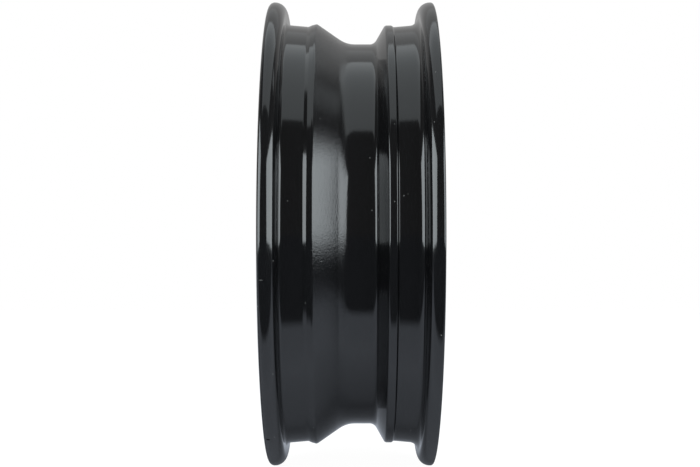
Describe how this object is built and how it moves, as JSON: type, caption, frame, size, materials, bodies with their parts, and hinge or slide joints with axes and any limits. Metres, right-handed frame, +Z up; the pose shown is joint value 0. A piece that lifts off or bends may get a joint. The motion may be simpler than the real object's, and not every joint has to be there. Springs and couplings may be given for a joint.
{
  "type": "trailer wheel",
  "caption": "Cast alloy trailer wheel in gloss black, with a spoked disc, a drop-centre barrel with safety humps, curled flanges, nut holes with cone seats and a valve hole.",
  "frame": {"origin": "on the axle line, in the plane of the mounting face, which is the middle of the rim's width", "axes": "+Y along the axle towards the vehicle, -Y out of the spoked face, +Z up through one spoke"},
  "size_m": [0.364, 0.1267, 0.3639],
  "materials": {
    "coated_alloy": "gloss black powder coat over cast aluminium"
  },
  "bodies": {
    "root": {"wheel": "coated_alloy"}
  },
  "joints": []
}
